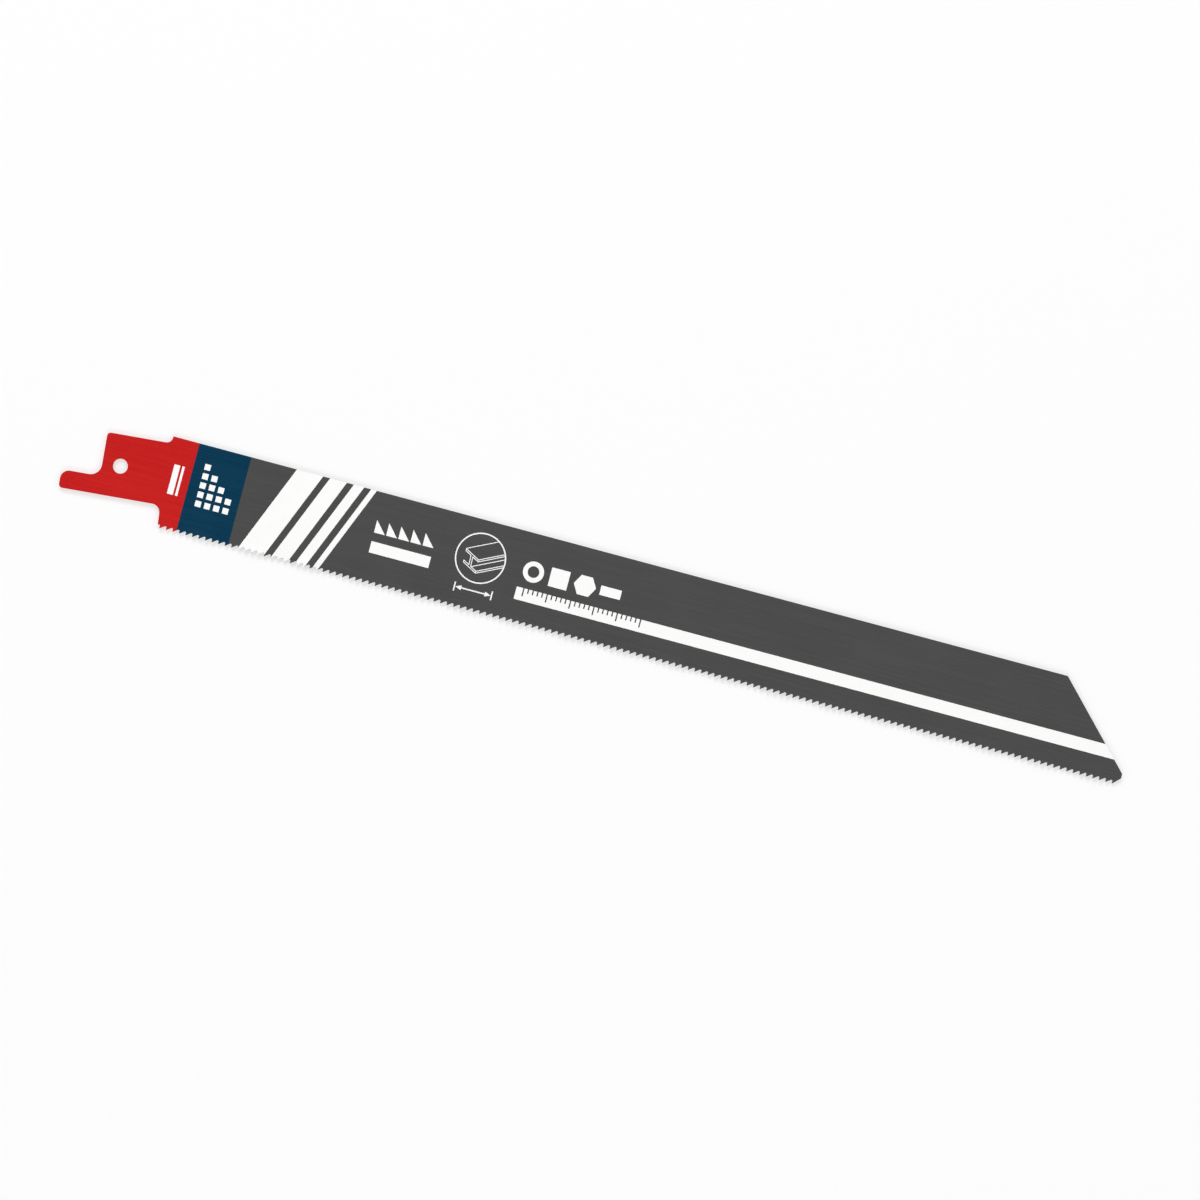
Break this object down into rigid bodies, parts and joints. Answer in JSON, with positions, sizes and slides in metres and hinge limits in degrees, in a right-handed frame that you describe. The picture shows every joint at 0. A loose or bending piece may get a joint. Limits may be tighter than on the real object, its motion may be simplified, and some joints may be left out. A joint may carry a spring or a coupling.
{
  "type": "reciprocating saw blade",
  "caption": "Straight saw blade for cutting metal, with a canted tanged shank, a pin hole, a sheared tip and a fine wavy-set toothed edge.",
  "frame": {"origin": "centre of the shank's pin hole, at mid-thickness of the blade", "axes": "+X along the blade towards its tip, +Y towards the back edge (the teeth are at -Y), +Z out of the printed face; the blade lies flat"},
  "size_m": [0.228, 0.0191, 0.0012],
  "materials": {
    "lacquered_steel": "satin lacquer in a red, a navy and a dark grey field on a steel strip",
    "white_ink": "matt printed ink"
  },
  "bodies": {
    "root": {"blade": "lacquered_steel"}
  },
  "joints": []
}
